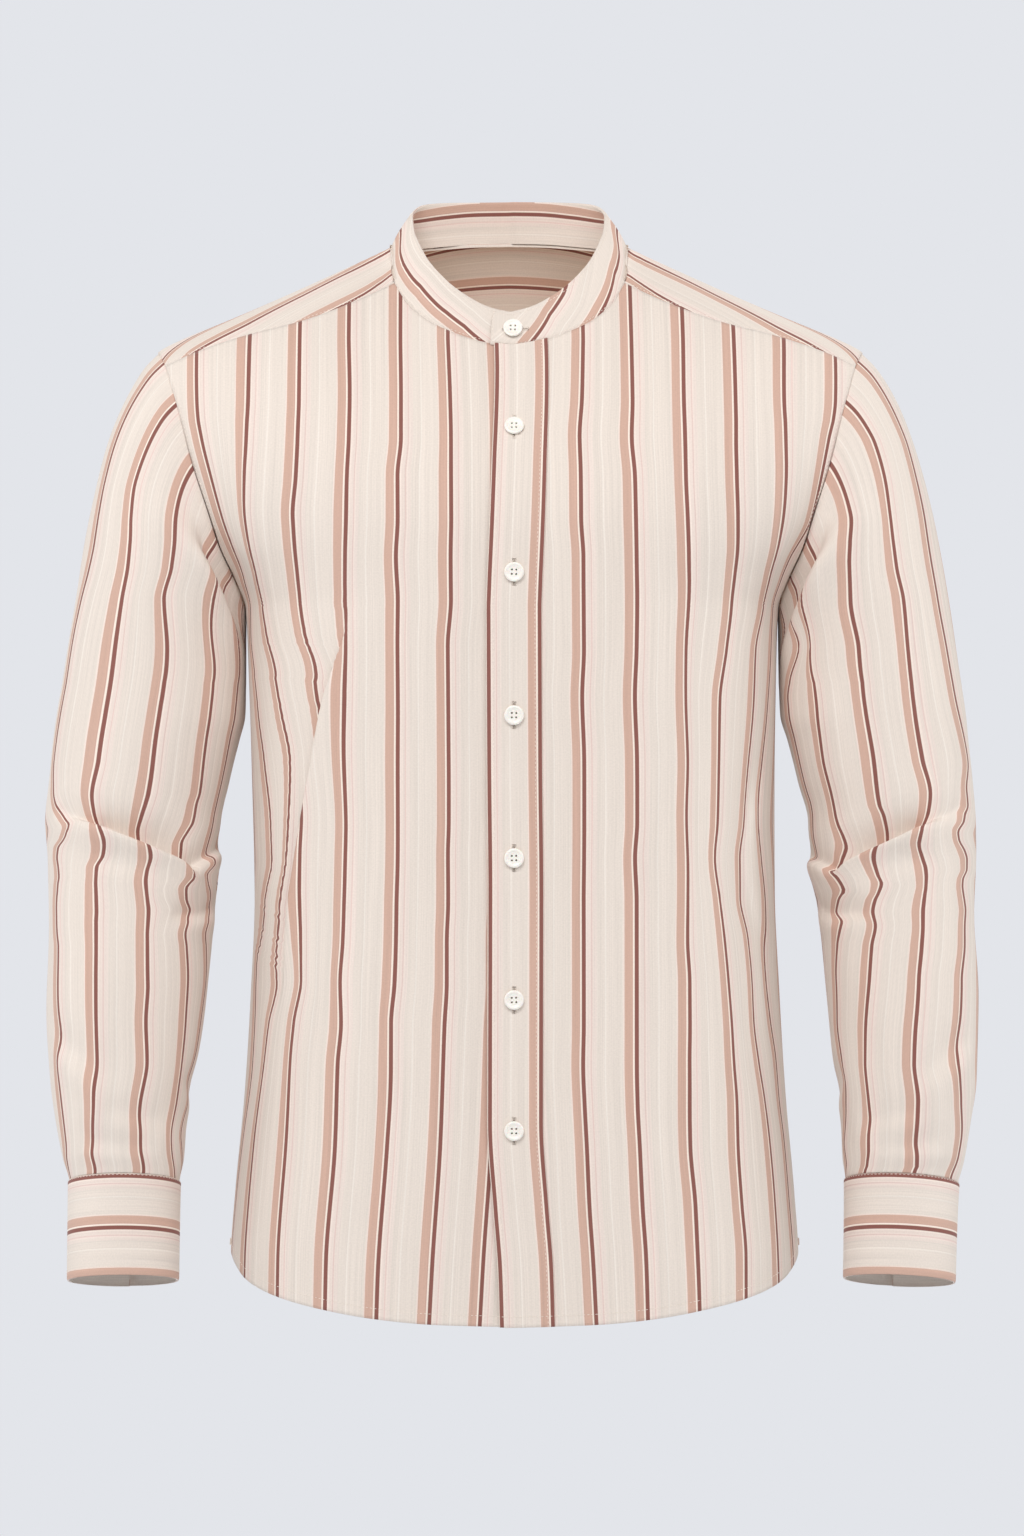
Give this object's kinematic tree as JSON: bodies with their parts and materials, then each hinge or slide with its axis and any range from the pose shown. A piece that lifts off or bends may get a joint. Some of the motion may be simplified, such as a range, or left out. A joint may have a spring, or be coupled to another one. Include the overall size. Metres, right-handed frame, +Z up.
{
  "type": "shirt",
  "caption": "Long-sleeved shirt with a band collar, button front and narrow stripes, shaped as worn.",
  "frame": {"origin": "middle of the neck opening at the height of the high shoulder points, between the shoulder ridges", "axes": "+Z up from hem to neck, -Y towards the front, +X towards the wearer's left"},
  "size_m": [0.6506, 0.2378, 0.7801],
  "materials": {
    "cloth": "matt cotton poplin",
    "button": "satin shell white"
  },
  "bodies": {
    "root": {"back": "cloth", "yoke": "cloth", "front_right": "cloth", "front_left": "cloth", "placket": "cloth", "collar_band": "cloth", "sleeve_right": "cloth", "sleeve_left": "cloth", "sleeve_placket_right": "cloth", "sleeve_placket_left": "cloth", "cuff_right": "cloth", "cuff_left": "cloth", "button_collar": "button", "button_front_1": "button", "button_front_2": "button", "button_front_3": "button", "button_front_4": "button", "button_front_5": "button", "button_front_6": "button", "button_cuff_right": "button", "button_cuff_left": "button"}
  },
  "joints": []
}
